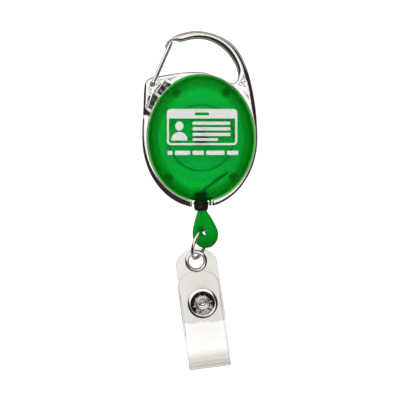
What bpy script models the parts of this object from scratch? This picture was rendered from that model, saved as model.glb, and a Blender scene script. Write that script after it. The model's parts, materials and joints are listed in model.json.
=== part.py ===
"""Retractable badge reel on a cast carabiner frame, lying on its back.

+X runs across the reel, +Y towards the carabiner, +Z up from the table, out of the reel's face.
The origin is on the table, under the spool's axis. Dimensions are in millimetres until MM.
"""

from math import atan2, cos, hypot, pi, radians, sin, sqrt

import bmesh
import bpy
from mathutils import Matrix, Vector

MM = 0.001

# Case: two oval shells that clamp the frame's ledge between their rims.
CASE_A = 16.4            # half width of the oval
CASE_B = 19.35           # half height of the oval
CASE_THICK = 11.6
MID = CASE_THICK / 2     # plane of the frame, the cord and the cord end
WALL = 1.2
GAP = 0.3                # clearance between neighbouring pieces
OVAL_STEPS = 56
TURN_STEPS = 32
BOSSES = [(7.6, 13.9), (-7.6, 13.9), (9.8, -12.0), (-9.8, -12.0)]
BOSS_R = 1.4

# Frame: one casting, an oval ring that is open at the bottom, with the hook's arm.
FRAME_HALF = 1.7         # half thickness
RING_X = -0.4            # the ring's outer oval is set off to the gate's side
RING_A = 17.75
RING_B = 21.4
WINDOW_GROWTH = 0.2      # the frame's window is this much larger than the case
LEDGE_DEPTH = 0.8        # the ledge's inner edge is this far inside the case's outline
LEDGE_HALF = 0.6
END_LEFT = -2.75         # where the ring's two ends stop, beside the cord guide
END_RIGHT = 3.45

# Gate: a bent wire that straddles the frame and shuts against the nose.
PIVOT = (-14.95, 16.6)
LATCH = (-9.25, 29.3)
WIRE_R = 0.5
GATE_LEG_Z = 2.35        # the legs' distance from the mid plane

# Spool, its spring and its arbor.
SPOOL_R = 13.1
DRUM_R = 11.0
DRUM_BORE = 10.2
SPOOL_Z = (2.2, 8.6)
FLANGE = 0.8
ARBOR_R = 1.9
SPRING_TURNS = 7
SPRING_HALF = 0.11       # half the strip's thickness
SPRING_Z = (3.4, 7.6)

# Cord: 0.8 mm braid, 0.76 m in two layers on the drum.
CORD_R = 0.4
WINDING_R = (11.2, 12.75)
WINDING_Z = (3.3, 7.5)
RUN_R = 13.3             # the free run leaves the winding on this radius
GUIDE_INNER = -16.6      # y of the guide's inner face
GUIDE_TIP = -22.3

# Cord end: a drop that seats in the guide's mouth and leans in the reel's plane.
SEAT = (0.0, -22.0)
LEAN = radians(8.5)
TWIST = radians(22)      # the cross hole's turn about the drop's own axis
DROP_LENGTH = 12.0
DROP_FLAT = 0.8          # thickness over width
HOLE_AT = 6.7            # cross hole, along the drop
HOLE_R = 1.25

# Link ring through the drop's hole and the strap's eyelet.
RING_R = 4.65
RING_WIRE = 0.55
RING_OUT = 4.15          # from the drop's hole to the ring's centre
RING_HEIGHT = 5.4
RING_HEADING = radians(-20)
RING_TILT = radians(22)

# Strap: clear vinyl, folded back on itself and snapped shut.
EYELET = (-1.55, -37.8)
EYELET_Z = 3.9
STRAP_TURN = radians(7.6)
STRAP_PITCH = radians(3.9)
STRAP_HALF = 6.25
STRAP_T = 0.5
STRAP_TOP = -3.85        # along the strap, measured from the eyelet
FLAP_TOP = 3.75
STRAP_ROUNDING = 5.0     # how far down its sides the end of each layer is rounded
FLAP_ROUNDING = 3.8
SNAP = (0.3, -12.9)      # from the eyelet, in the strap's plane
FOLD_AT = 30.15
FOLD_R = 2.85
LAYER_GAP = 2.7          # between the two layers' mid planes at the snap
BULGE = 1.5              # how far each layer bows out by the fold
BULGE_FROM, BULGE_TO = 18.0, 25.0
HINGE_AT = 29.8
HINGE_GAP = 0.35
EYELET_BORE = 2.25


# --- scene, materials and small tools ---------------------------------------------------

def clear_scene():
    for obj in list(bpy.data.objects):
        bpy.data.objects.remove(obj)


def material(name, colour, roughness, metallic=0.0, alpha=1.0):
    mat = bpy.data.materials.new(name)
    mat.use_nodes = True
    shader = mat.node_tree.nodes["Principled BSDF"]
    shader.inputs["Base Color"].default_value = (*colour, 1.0)
    shader.inputs["Roughness"].default_value = roughness
    shader.inputs["Metallic"].default_value = metallic
    shader.inputs["Alpha"].default_value = alpha
    mat.diffuse_color = (*colour, alpha)
    return mat


def add_object(name, mesh, mat=None, parent=None):
    obj = bpy.data.objects.new(name, mesh)
    bpy.context.scene.collection.objects.link(obj)
    if mat is not None:
        mesh.materials.append(mat)
    obj.parent = parent
    return obj


def add_empty(name, location, rotation=(0, 0, 0)):
    empty = bpy.data.objects.new(name, None)
    empty.location = Vector(location) * MM
    empty.rotation_euler = rotation
    bpy.context.scene.collection.objects.link(empty)
    return empty


def mesh_from(name, points, faces):
    """A mesh from points in millimetres, its faces turned outwards."""
    mesh = bpy.data.meshes.new(name)
    mesh.from_pydata([Vector(p) * MM for p in points], [], faces)
    bm = bmesh.new()
    bm.from_mesh(mesh)
    bmesh.ops.recalc_face_normals(bm, faces=bm.faces)
    bm.to_mesh(mesh)
    bm.free()
    mesh.shade_smooth()
    mesh.set_sharp_from_angle(angle=radians(35))
    return mesh


def lofted(name, rings, closed=False):
    """A skin over rings of equally many points. It is capped at both ends, or closed into a loop."""
    count = len(rings[0])
    points = [p for ring in rings for p in ring]
    faces = []
    spans = len(rings) if closed else len(rings) - 1
    for i in range(spans):
        a, b = i * count, (i + 1) % len(rings) * count
        for j in range(count):
            k = (j + 1) % count
            faces.append((a + j, a + k, b + k, b + j))
    if not closed:
        faces.append(tuple(range(count)))
        faces.append(tuple(range(len(points) - count, len(points))))
    return mesh_from(name, points, faces)


def circle(radius, z, steps=TURN_STEPS, centre=(0, 0)):
    turns = [2 * pi * i / steps for i in range(steps)]
    return [(centre[0] + radius * cos(t), centre[1] + radius * sin(t), z) for t in turns]


def oval(growth, z, steps=OVAL_STEPS):
    turns = [2 * pi * i / steps for i in range(steps)]
    return [((CASE_A + growth) * cos(t), (CASE_B + growth) * sin(t), z) for t in turns]


def turned(name, profile, closed=False, steps=TURN_STEPS):
    """A turned piece about Z from (radius, z) points. A closed profile makes a bored piece."""
    return lofted(name, [circle(r, z, steps) for r, z in profile], closed)


def prism(name, outline, low, high):
    return lofted(name, [[(x, y, z) for x, y in outline] for z in (low, high)])


def rod(name, radius, low, high, centre=(0, 0), steps=16):
    return lofted(name, [circle(radius, z, steps, centre) for z in (low, high)])


def cut(obj, cutter_mesh, operation="DIFFERENCE"):
    """Adds a Boolean with a hidden cutter that takes obj's place."""
    cutter = add_object(f"{obj.name}_cutter", cutter_mesh, parent=obj)
    cutter.hide_render = True
    cutter.display_type = "WIRE"
    modifier = obj.modifiers.new(operation.title(), "BOOLEAN")
    modifier.operation = operation
    modifier.object = cutter


def several(name, meshes):
    """One mesh that holds several separate bodies."""
    bm = bmesh.new()
    for mesh in meshes:
        bm.from_mesh(mesh)
    joined = bpy.data.meshes.new(name)
    bm.to_mesh(joined)
    bm.free()
    return joined


def wire(name, points, radius, mat, cyclic=False, parent=None):
    """A round wire along points: a curve with a bevel and filled caps."""
    curve = bpy.data.curves.new(name, "CURVE")
    curve.dimensions = "3D"
    curve.bevel_depth = radius * MM
    curve.bevel_resolution = 2
    curve.use_fill_caps = not cyclic
    spline = curve.splines.new("POLY")
    spline.points.add(len(points) - 1)
    for target, p in zip(spline.points, points):
        target.co = (*(Vector(p) * MM), 1)
    spline.use_cyclic_u = cyclic
    return add_object(name, curve, mat, parent)


def through(points, per_span=4):
    """A smooth Catmull-Rom line through points in two or three dimensions."""
    points = [Vector(p) for p in points]
    ends = [2 * points[0] - points[1], *points, 2 * points[-1] - points[-2]]
    line = []
    for a, b, c, d in zip(ends, ends[1:], ends[2:], ends[3:]):
        for i in range(per_span):
            t = i / per_span
            line.append(0.5 * (2 * b + (c - a) * t + (2 * a - 5 * b + 4 * c - d) * t * t
                               + (3 * b - a - 3 * c + d) * t ** 3))
    line.append(points[-1])
    return [tuple(p) for p in line]


def rounded(points, radius, steps=4):
    """A polyline with each inner corner replaced by a bend that keeps `radius` from the corner."""
    points = [Vector(p) for p in points]
    line = [points[0]]
    for a, b, c in zip(points, points[1:], points[2:]):
        start = b + (a - b).normalized() * radius
        end = b + (c - b).normalized() * radius
        for i in range(steps + 1):
            t = i / steps
            line.append(start * (1 - t) ** 2 + b * 2 * t * (1 - t) + end * t * t)
    line.append(points[-1])
    return [tuple(p) for p in line]


def ease(x, low, high):
    t = min(1.0, max(0.0, (x - low) / (high - low)))
    return t * t * (3 - 2 * t)


# --- carabiner frame and gate -------------------------------------------------------------

def ring_arc(a, b, x0, start, end, steps):
    """Points on an upright oval about (x0, 0) from angle start to angle end."""
    turns = [start + (end - start) * i / steps for i in range(steps + 1)]
    return [(x0 + a * cos(t), b * sin(t)) for t in turns]


def end_angle(x, a, b, x0):
    """The angle, below the X axis, at which the oval stands at x."""
    return atan2(-sqrt(1 - ((x - x0) / a) ** 2), (x - x0) / a)


def arm_outside():
    """Outer edge of the arm, from the ring's right side over the top to the nose."""
    return through([(17.25, 3.6), (16.75, 9.4), (15.5, 16.5), (13.7, 22.5), (10.6, 28.0), (5.8, 31.4),
                    (-0.9, 33.05), (-7.0, 32.0), (-10.4, 29.85)])


def nose():
    """The nose's tip, the seat for the gate's crossbar, and the bump beside it."""
    tip = [(-11.3, 28.4), (-11.1, 27.7), (-10.55, 27.65), (-10.1, 28.5)]
    seat = [(LATCH[0] + 0.75 * cos(t), LATCH[1] + 0.75 * sin(t)) for t in (3.0, 2.3, 1.6, 0.9)]
    return tip + seat


def arm_inside():
    """Inner edge of the arm, from the bump down to the shoulder."""
    return through([(-8.2, 30.0), (-6.2, 29.6), (-2.3, 30.45), (2.4, 30.0), (7.1, 27.2), (10.3, 23.0),
                    (11.35, 19.3), (10.6, 17.15), (9.2, 16.95)])


def top_edge():
    """Upper edge of the ring, over the case, round the gate's corner and down the left side."""
    return through([(5.9, 18.35), (1.2, 20.15), (-4.7, 20.3), (-12.7, 19.2), (-15.2, 18.75), (-16.9, 17.6),
                    (-17.55, 15.2), (-17.8, 9.0), (-18.1, 3.2)])


def frame_outline():
    right = end_angle(END_RIGHT, RING_A, RING_B, RING_X)
    left = end_angle(END_LEFT, RING_A, RING_B, RING_X)
    a, b = CASE_A + WINDOW_GROWTH, CASE_B + WINDOW_GROWTH
    start, end = end_angle(END_RIGHT, a, b, 0), end_angle(END_LEFT, a, b, 0)
    outer = ring_arc(RING_A, RING_B, RING_X, right, 0.0, 14)
    lower_left = ring_arc(RING_A, RING_B, RING_X, -pi, left, 14)
    window = ring_arc(a, b, 0, 2 * pi + end, start, 56)
    return outer + arm_outside() + nose() + arm_inside() + top_edge() + lower_left + window


def ledge_outline():
    """The ledge that the two shells clamp, an open oval band inside the window."""
    bands = []
    for growth in (WINDOW_GROWTH + 0.4, -LEDGE_DEPTH):
        a, b = CASE_A + growth, CASE_B + growth
        start, end = end_angle(END_RIGHT, a, b, 0), end_angle(END_LEFT, a, b, 0)
        bands.append(ring_arc(a, b, 0, start, 2 * pi + end, 48))
    return bands[0] + bands[1][::-1]


def make_frame(chrome):
    frame = add_object("carabiner_frame", prism("carabiner_frame", frame_outline(), MID - FRAME_HALF,
                                                MID + FRAME_HALF), chrome)
    cut(frame, prism("ledge", ledge_outline(), MID - LEDGE_HALF, MID + LEDGE_HALF), "UNION")
    depth = 1.1
    low, high = MID - FRAME_HALF, MID + FRAME_HALF
    holes = [rod("hole", WIRE_R + 0.2, low - 1, low + depth, PIVOT),
             rod("hole", WIRE_R + 0.2, high - depth, high + 1, PIVOT)]
    cut(frame, several("pivot_holes", holes))


def make_gate(chrome):
    """The wire runs from one pivot hole up to the nose, across it, and back to the other hole."""
    foot = FRAME_HALF - 0.75
    path = []
    for side in (1, -1):
        ends = [(*PIVOT, MID + side * foot), (*PIVOT, MID + side * GATE_LEG_Z),
                (*LATCH, MID + side * GATE_LEG_Z)]
        path += ends if side > 0 else ends[::-1]
    wire("gate_wire", rounded(path, 0.8), WIRE_R, chrome)


# --- case ---------------------------------------------------------------------------------

def guide_passage():
    """The round passage for the cord guide, cut half into each shell."""
    mesh = rod("guide_passage", 2.3, 14.0, 24.0, (0, 0), 24)
    mesh.transform(Matrix.Translation((0, 0, MID * MM)) @ Matrix.Rotation(pi / 2, 4, "X"))
    return mesh


def make_rear_cover(plastic):
    rim = MID - LEDGE_HALF - GAP
    profile = [(-3.4, 0), (-1.7, 0.35), (-0.6, 1.2), (-0.1, 2.4), (0, 3.4), (0, rim),
               (-WALL, rim), (-WALL, 3.2), (-2.0, 1.9), (-3.8, WALL)]
    rear = add_object("rear_cover", lofted("rear_cover", [oval(g, z) for g, z in profile]), plastic)
    posts = [rod("post", BOSS_R, 0.8, rim + 0.4, c) for c in BOSSES]
    posts.append(rod("post", 3.0, 0.8, 1.9))
    cut(rear, several("posts", posts), "UNION")
    sockets = [rod("socket", 0.85, 2.6, MID, c) for c in BOSSES]
    sockets.append(rod("socket", 1.35, 0.9, 3.0))
    cut(rear, several("sockets", sockets))
    cut(rear, guide_passage())


def make_front_cover(plastic):
    """The front shell, with its posts, the spool's upper bearing and a lug beside the cord guide."""
    rim = MID + LEDGE_HALF + GAP
    top = CASE_THICK
    profile = [(-5.0, top), (-3.0, top - 0.25), (-1.5, top - 0.8), (-0.5, top - 1.8), (0, top - 3.4),
               (0, rim), (-WALL, rim), (-WALL, top - 3.6), (-1.9, top - 2.2), (-3.6, top - WALL - 0.2),
               (-5.2, top - WALL)]
    front = add_object("front_cover", lofted("front_cover", [oval(g, z) for g, z in profile]), plastic)
    posts = [rod("post", BOSS_R, rim - 0.1, top - 1.5, c) for c in BOSSES]
    pins = [rod("pin", 0.55, 3.4, top - 2, c, 12) for c in BOSSES]
    roof = top - 0.6
    cut(front, several("posts", posts), "UNION")
    cut(front, several("pins", pins), "UNION")
    cut(front, turned("bearing", [(2.7, roof), (2.7, 9.3), (1.7, 9.3), (1.7, roof)], True, 24), "UNION")
    lug = [(2.6, -18.3), (3.1, -18.3), (3.1, -20.8), (2.6, -20.8)]
    cut(front, prism("lug", lug, rim, 8.4), "UNION")
    cut(front, guide_passage())


def make_guide(black):
    """Cord guide: flanges inside and outside the case's wall, a flared throat for the cord end's tip."""
    inner, tip = -GUIDE_INNER, -GUIDE_TIP
    profile = [(0.65, inner), (3.0, inner), (3.0, inner + 0.8), (2.0, inner + 0.8),
               (2.0, CASE_B + 0.25), (2.35, CASE_B + 0.25), (2.35, CASE_B + 1.0), (2.2, CASE_B + 1.15),
               (2.2, tip - 0.7), (1.85, tip), (1.55, tip), (1.5, tip - 0.9), (0.65, tip - 1.7)]
    guide = add_object("cord_guide", turned("cord_guide", profile, True, 24), black)
    guide.location = (0, 0, MID * MM)
    guide.rotation_euler = (pi / 2, 0, 0)


# --- spool, spring, arbor and the cord inside the case -------------------------------------

def make_spool(plastic):
    low, high = SPOOL_Z
    bore = ARBOR_R + 0.35
    profile = [(bore, low), (SPOOL_R, low), (SPOOL_R, low + FLANGE), (DRUM_R, low + FLANGE),
               (DRUM_R, high - FLANGE), (SPOOL_R, high - FLANGE), (SPOOL_R, high), (DRUM_BORE, high),
               (DRUM_BORE, low + FLANGE), (bore, low + FLANGE)]
    add_object("spool", turned("spool", profile, True, 48), plastic)
    radius, thickness = DRUM_BORE - GAP, 0.7
    disc = [(bore, high - thickness), (radius, high - thickness), (radius, high), (bore, high)]
    add_object("spring_cover_disc", turned("spring_cover_disc", disc, True, 40), plastic)


def make_arbor(steel):
    """Fixed arbor: it carries the spool, and its slot holds the spring's inner end."""
    profile = [(1.1, 1.1), (1.1, 2.1), (ARBOR_R, 2.1), (ARBOR_R, 9.0), (1.4, 9.0), (1.4, 10.2)]
    arbor = add_object("spring_arbor", turned("spring_arbor", profile, steps=24), steel)
    half = 0.32
    slot = [(-3, -half), (0.9, -half), (0.9, half), (-3, half)]
    cut(arbor, prism("slot", slot, 3.2, 9.5))


def spring_line():
    """The strip's centreline: a tab in the arbor's slot, a loose spiral, then turns packed on the drum."""
    loose, packed = 2.5, SPRING_TURNS - 2.5
    inner, bend, outer = ARBOR_R + 0.45, 8.0, DRUM_BORE - 0.35
    line = [(0.5, 0), (-ARBOR_R + 0.3, 0), (-inner, 0)]
    steps = 20
    for i in range(1, int(SPRING_TURNS * steps) + 1):
        turn = i / steps
        if turn < loose:
            radius = inner + (bend - inner) * turn / loose
        else:
            radius = bend + (outer - bend) * (turn - loose) / packed
        angle = pi + 2 * pi * turn
        line.append((radius * cos(angle), radius * sin(angle)))
    return line


def make_spring(steel):
    line = [Vector(p) for p in spring_line()]
    sides = []
    for i, p in enumerate(line):
        along = (line[min(i + 1, len(line) - 1)] - line[max(i - 1, 0)]).normalized()
        across = Vector((-along.y, along.x)) * SPRING_HALF
        sides.append((p + across, p - across))
    low, high = SPRING_Z
    rings = [[(a.x, a.y, low), (b.x, b.y, low), (b.x, b.y, high), (a.x, a.y, high)] for a, b in sides]
    add_object("power_spring", lofted("power_spring", rings), steel)


def make_inner_cord(braid):
    low, high = WINDING_Z
    inner, outer = WINDING_R
    profile = [(inner, low), (outer, low), (outer, high), (inner, high)]
    add_object("cord_winding", turned("cord_winding", profile, True, 48), braid)
    mouth = (0.0, GUIDE_INNER - 0.5)
    tangent = -pi / 2 + atan2(sqrt(mouth[1] ** 2 - RUN_R ** 2), RUN_R)
    start = (RUN_R * cos(tangent), RUN_R * sin(tangent), MID)
    route = [start, (0.55, GUIDE_INNER + 0.4, MID), (0, GUIDE_INNER - 1.4, MID), (0, GUIDE_TIP + 1.7, MID)]
    wire("cord_inner_run", through(route, 5), CORD_R, braid)


# --- cord end and link ring -----------------------------------------------------------------

def drop_profile():
    """(distance from the seat, radius): a ball tip, a straight cone and a round bulb."""
    return [(-0.85, 0.65), (-0.55, 1.0), (0.0, 1.2), (0.9, 1.6), (2.6, 2.4), (4.4, 3.15), (6.0, 3.65),
            (7.4, 3.88), (8.6, 3.84), (9.8, 3.45), (10.8, 2.75), (11.5, 1.85), (11.9, 0.9)]


def drop_ring(s, radius, steps=28):
    turns = [2 * pi * i / steps for i in range(steps)]
    return [(radius * cos(t), radius * DROP_FLAT * sin(t), s) for t in turns]


def make_cord_end(plastic, braid):
    axis = add_empty("cord_axis", (*SEAT, MID), (pi / 2, 0, LEAN))
    rings = [drop_ring(s, r) for s, r in drop_profile()] + [drop_ring(DROP_LENGTH, 0.25)]
    drop = add_object("cord_end", lofted("cord_end", rings), plastic, axis)
    drop.rotation_euler = (0, 0, TWIST)
    hole = turned("hole", [(HOLE_R + 1.6, -5.0), (HOLE_R + 0.65, -2.9), (HOLE_R, -1.5), (HOLE_R, 1.5),
                           (HOLE_R + 0.65, 2.9), (HOLE_R + 1.6, 5.0)], steps=24)
    hole.transform(Matrix.Translation((0, 0, HOLE_AT * MM)) @ Matrix.Rotation(pi / 2, 4, "X"))
    cut(drop, hole)
    cut(drop, turned("bore", [(0.62, -2), (0.62, 2.9), (1.35, 3.3), (1.35, HOLE_AT)], steps=16))
    knot = [(0.45, 3.45), (0.85, 3.6), (1.1, 4.0), (1.1, 4.3), (0.8, 4.65), (0.3, 4.8)]
    add_object("cord_knot", turned("cord_knot", knot, steps=16), braid, axis)
    wire("cord_outer_run", [(0, 0, s) for s in (-0.65, 0.6, 1.9, 3.2)], CORD_R, braid, parent=axis)


def make_link_ring(steel):
    """A closed wire ring that stands on edge, through the drop's hole and the strap's eyelet."""
    heading = Vector((sin(RING_HEADING), -cos(RING_HEADING), 0))
    side = Vector((cos(RING_HEADING), sin(RING_HEADING), 0))
    up = Vector((0, 0, 1)) * cos(RING_TILT) - side * sin(RING_TILT)
    hole = Vector((SEAT[0] + HOLE_AT * sin(LEAN), SEAT[1] - HOLE_AT * cos(LEAN), RING_HEIGHT))
    placed = Matrix((heading, up, heading.cross(up))).transposed().to_4x4()
    placed.translation = (hole + heading * RING_OUT) * MM
    steps = 40
    turns = [2 * pi * i / steps for i in range(steps)]
    points = [(RING_R * cos(t), RING_R * sin(t), 0) for t in turns]
    ring = wire("link_ring", points, RING_WIRE, steel, cyclic=True)
    ring.matrix_world = placed


# --- strap, eyelet and snap -------------------------------------------------------------------

def bowed(s, side):
    """Height of a layer's mid plane above the back layer, where the layers bow apart by the fold."""
    level = LAYER_GAP if side > 0 else 0.0
    return level + side * BULGE * ease(s, BULGE_FROM, BULGE_TO)


def strap_width(s, top, run):
    """Half width at s, for an end at `top` that is rounded over `run`."""
    t = min(1.0, (s - top) / run)
    return STRAP_HALF * max(0.12, sqrt(max(0.0, 1 - (1 - t) ** 2.2)))


def sheet(name, path, mat, parent):
    """A strip of vinyl along (s, height, half width) stations."""
    rings = []
    for i, (s, n, half) in enumerate(path):
        s0, n0, _ = path[max(i - 1, 0)]
        s1, n1, _ = path[min(i + 1, len(path) - 1)]
        length = hypot(s1 - s0, n1 - n0)
        ds, dn = (s1 - s0) / length * STRAP_T / 2, (n1 - n0) / length * STRAP_T / 2
        rings.append([(-half, -s - dn, n - ds), (half, -s - dn, n - ds),
                      (half, -s + dn, n + ds), (-half, -s + dn, n + ds)])
    return add_object(name, lofted(name, rings), mat, parent)


def end_stations(top, side, run):
    steps = 8
    stations = [top + run * (1 - cos(pi / 2 * i / steps)) for i in range(steps + 1)]
    return [(s, bowed(s, side), strap_width(s, top, run)) for s in stations]


def layer_stations(start, end, side, steps):
    stations = [start + (end - start) * i / steps for i in range(steps + 1)]
    return [(s, bowed(s, side), STRAP_HALF) for s in stations]


def make_strap(vinyl):
    anchor = add_empty("strap_anchor", (*EYELET, EYELET_Z), (STRAP_PITCH, 0, STRAP_TURN))
    middle = LAYER_GAP / 2
    back = end_stations(STRAP_TOP, -1, STRAP_ROUNDING) + layer_stations(6.0, BULGE_FROM - 1, -1, 2)
    back += layer_stations(BULGE_FROM, BULGE_TO, -1, 6) + [(28.0, -BULGE, STRAP_HALF)]
    last = pi / 2 - 0.02
    for i in range(15):
        t = -pi / 2 + (last + pi / 2) * i / 14
        back.append((FOLD_AT + FOLD_R * cos(t), middle + FOLD_R * sin(t), STRAP_HALF))
    flap = end_stations(FLAP_TOP, 1, FLAP_ROUNDING) + layer_stations(11.0, BULGE_FROM - 1, 1, 2)
    flap += layer_stations(BULGE_FROM, BULGE_TO, 1, 6)
    flap.append((HINGE_AT - HINGE_GAP, LAYER_GAP + BULGE, STRAP_HALF))
    strap_back = sheet("strap_back", back, vinyl, anchor)
    strap_flap = sheet("strap_flap", flap, vinyl, anchor)
    rivet_bore, thick = 1.55, 2.0
    cut(strap_back, several("back_holes", [rod("hole", EYELET_BORE + 0.45, -thick, thick, steps=24),
                                           rod("hole", rivet_bore, -1.2, 1.2, SNAP)]))
    cut(strap_flap, rod("flap_hole", 1.95, LAYER_GAP - 1, LAYER_GAP + 1, SNAP, 24))
    return anchor


def make_eyelet(steel, anchor):
    top = STRAP_T / 2 + 0.1
    bore, wall = EYELET_BORE, 0.3
    profile = [(bore, -top - 0.3), (bore + 0.25, -top - 0.45), (3.2, -top - 0.3), (3.25, -top),
               (bore + wall, -top), (bore + wall, top), (3.4, top), (3.45, top + 0.3),
               (2.9, top + 0.6), (bore + 0.2, top + 0.5), (bore, top + 0.2)]
    add_object("strap_eyelet", turned("strap_eyelet", profile, True), steel, anchor)


def make_snap(steel, anchor):
    """Four pieces of a ring snap: post and stud on the back layer, socket and ring on the flap."""
    back, flap = STRAP_T / 2, LAYER_GAP - STRAP_T / 2
    front = LAYER_GAP + STRAP_T / 2
    pieces = {
        "snap_post": ([(0.3, -back - 0.75), (3.9, -back - 0.7), (4.4, -back - 0.4), (4.35, -back - 0.12),
                       (1.3, -back - 0.12), (1.2, back + 0.5), (0.3, back + 0.5)], False),
        "snap_stud": ([(1.4, back + 0.12), (3.9, back + 0.12), (4.0, back + 0.45), (2.2, back + 0.6),
                       (1.75, back + 0.9), (1.85, back + 1.5), (1.5, back + 1.85), (0.3, back + 1.9),
                       (0.3, back + 0.8), (1.4, back + 0.7)], True),
        "snap_socket": ([(2.25, flap - 1.3), (3.9, flap - 1.25), (4.3, flap - 0.8), (4.3, flap - 0.12),
                         (2.35, flap - 0.12)], True),
        "snap_ring": ([(1.35, flap - 0.1), (1.7, flap - 0.1), (1.75, front + 0.12), (4.6, front + 0.12),
                       (4.75, front + 0.5), (4.35, front + 0.95), (3.8, front + 0.9), (3.5, front + 0.45),
                       (1.9, front + 0.4), (1.6, front + 0.7), (1.35, front + 0.5)], True),
    }
    for name, (profile, closed) in pieces.items():
        piece = add_object(name, turned(name, profile, closed), steel, anchor)
        piece.location = Vector((*SNAP, 0)) * MM


# --- the whole reel ----------------------------------------------------------------------------

def main():
    clear_scene()
    chrome = material("chrome", (0.82, 0.81, 0.80), 0.08, 1.0)
    steel = material("nickel_steel", (0.72, 0.71, 0.69), 0.18, 1.0)
    spring_steel = material("spring_steel", (0.32, 0.34, 0.38), 0.3, 1.0)
    dark_steel = material("dark_steel", (0.05, 0.05, 0.055), 0.4, 0.8)
    green = material("green_plastic", (0.0, 0.36, 0.06), 0.12, 0.0, 0.75)
    spool_plastic = material("spool_plastic", (0.75, 0.8, 0.74), 0.4)
    black = material("black_plastic", (0.02, 0.018, 0.02), 0.35)
    braid = material("cord_braid", (0.02, 0.02, 0.022), 0.8)
    vinyl = material("clear_vinyl", (0.9, 0.9, 0.88), 0.1, 0.0, 0.4)
    make_frame(chrome)
    make_gate(chrome)
    make_rear_cover(green)
    make_front_cover(green)
    make_guide(black)
    make_spool(spool_plastic)
    make_arbor(dark_steel)
    make_spring(spring_steel)
    make_inner_cord(braid)
    make_cord_end(green, braid)
    make_link_ring(steel)
    anchor = make_strap(vinyl)
    make_eyelet(steel, anchor)
    make_snap(steel, anchor)


main()
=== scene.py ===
"""Looks for the retractable badge reel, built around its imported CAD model.

The reel lies on its back on a white table and is seen from straight above, hook to the top.
Sizes are in millimetres until MM, in the CAD's frame: +Y to the hook, +Z out of the reel's face.
"""

import json
from math import cos, exp, hypot, pi, radians, sin, sqrt

import bmesh
import bpy
import numpy as np
from mathutils import Matrix, Vector, noise
from mathutils.geometry import delaunay_2d_cdt


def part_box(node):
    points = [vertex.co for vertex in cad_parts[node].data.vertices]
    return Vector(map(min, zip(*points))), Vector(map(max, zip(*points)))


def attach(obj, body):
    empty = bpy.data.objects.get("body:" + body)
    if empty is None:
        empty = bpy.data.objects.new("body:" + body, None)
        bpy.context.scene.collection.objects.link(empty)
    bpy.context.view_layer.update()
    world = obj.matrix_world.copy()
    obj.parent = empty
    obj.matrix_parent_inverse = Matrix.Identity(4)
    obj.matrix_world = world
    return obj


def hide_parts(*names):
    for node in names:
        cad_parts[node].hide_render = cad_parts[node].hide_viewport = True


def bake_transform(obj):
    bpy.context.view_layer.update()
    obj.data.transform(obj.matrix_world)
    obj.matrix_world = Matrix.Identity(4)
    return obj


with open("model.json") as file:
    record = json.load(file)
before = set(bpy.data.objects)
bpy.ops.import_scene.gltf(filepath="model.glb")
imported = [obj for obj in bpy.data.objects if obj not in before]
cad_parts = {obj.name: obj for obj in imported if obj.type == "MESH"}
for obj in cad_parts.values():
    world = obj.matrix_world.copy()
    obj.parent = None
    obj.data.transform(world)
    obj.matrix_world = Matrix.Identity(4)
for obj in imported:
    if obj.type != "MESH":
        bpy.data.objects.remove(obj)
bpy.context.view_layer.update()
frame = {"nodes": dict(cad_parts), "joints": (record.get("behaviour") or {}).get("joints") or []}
MM = 0.001
JOINTS = {joint["name"]: joint for joint in frame["joints"]}


def node_box(node):
    """Lowest and highest corner of a CAD node, in millimetres."""
    return [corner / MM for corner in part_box(node)]


def joint_point(name):
    return Vector(JOINTS[name]["pos_m"]) / MM


# Places taken from the CAD.
CASE_LOW, CASE_HIGH = node_box("front_cover")
CASE_A, CASE_B = CASE_HIGH.x, CASE_HIGH.y
TOP = CASE_HIGH.z
FRAME_LOW, FRAME_HIGH = node_box("carabiner_frame")
MID = (FRAME_LOW.z + FRAME_HIGH.z) / 2
PIVOT = joint_point("gate_open")
SEAT = joint_point("cord_end_twist")
PULL = Vector(JOINTS["cord_pull"]["axis"])
HOLE = joint_point("ring_swing")


# --- small tools ---

def smoothed(mesh, sharp=35):
    mesh.shade_smooth()
    mesh.set_sharp_from_angle(angle=radians(sharp))
    return mesh


def mesh_from(name, points, faces, sharp=35):
    """A smooth-shaded mesh from points in millimetres, its faces turned outwards."""
    mesh = bpy.data.meshes.new(name)
    mesh.from_pydata([Vector(p) * MM for p in points], [], faces)
    bm = bmesh.new()
    bm.from_mesh(mesh)
    bmesh.ops.recalc_face_normals(bm, faces=bm.faces)
    bm.to_mesh(mesh)
    bm.free()
    return smoothed(mesh, sharp)


def lofted(name, rings, closed=False, sharp=35):
    """A skin over rings of equally many points, capped at both ends or closed into a loop."""
    count = len(rings[0])
    points = [p for ring in rings for p in ring]
    faces = []
    for i in range(len(rings) if closed else len(rings) - 1):
        a, b = i * count, (i + 1) % len(rings) * count
        for j in range(count):
            k = (j + 1) % count
            faces.append((a + j, a + k, b + k, b + j))
    if not closed:
        faces.append(tuple(range(count)))
        faces.append(tuple(range(len(points) - count, len(points))))
    return mesh_from(name, points, faces, sharp)


def around(steps):
    """The angles of evenly spaced points round a circle."""
    return [2 * pi * i / steps for i in range(steps)]


def ring(a, b, z, steps):
    return [(a * cos(t), b * sin(t), z) for t in around(steps)]


def turned(name, profile, closed=False, steps=96, sharp=35, at=None):
    """A profile of radius and height, turned about Z and then moved."""
    mesh = lofted(name, [ring(r, r, z, steps) for r, z in profile], closed, sharp)
    if at is not None:
        mesh.transform(at)
    return mesh


def moved(x, y, z=0.0):
    return Matrix.Translation(Vector((x, y, z)) * MM)


def axes_at(x, y, z, origin):
    """A placement with these three axes, at an origin in millimetres."""
    placed = Matrix((x, y, z)).transposed().to_4x4()
    placed.translation = Vector(origin) * MM
    return placed


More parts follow.
